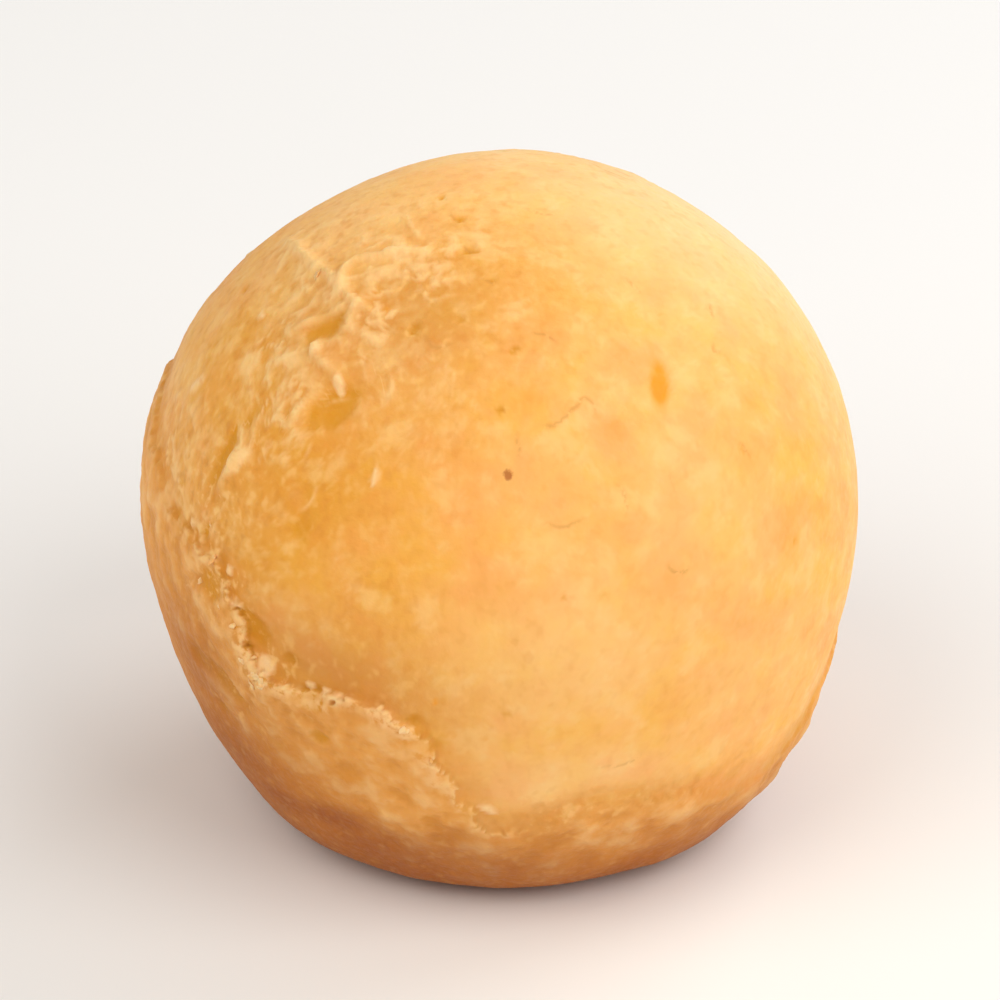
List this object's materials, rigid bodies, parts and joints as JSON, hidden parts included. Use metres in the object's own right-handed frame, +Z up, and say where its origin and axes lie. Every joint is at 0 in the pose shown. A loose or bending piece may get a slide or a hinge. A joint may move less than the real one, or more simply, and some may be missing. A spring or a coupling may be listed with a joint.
{
  "type": "cheese bread ball",
  "caption": "baked ball of tapioca and cheese dough with a smooth golden dome, a torn lip above its rough lower crust and a flat browned underside",
  "frame": {"origin": "on the plane of the flat underside, below the middle of the ball's outline seen from above", "axes": "+Z up through the crown, -Y towards the front with the torn lip at lower left, +X to the right seen from the front"},
  "size_m": [0.0522, 0.0518, 0.0496],
  "materials": {
    "crust": "matt baked crust"
  },
  "bodies": {
    "root": {"cheese_ball": "crust"}
  },
  "joints": []
}
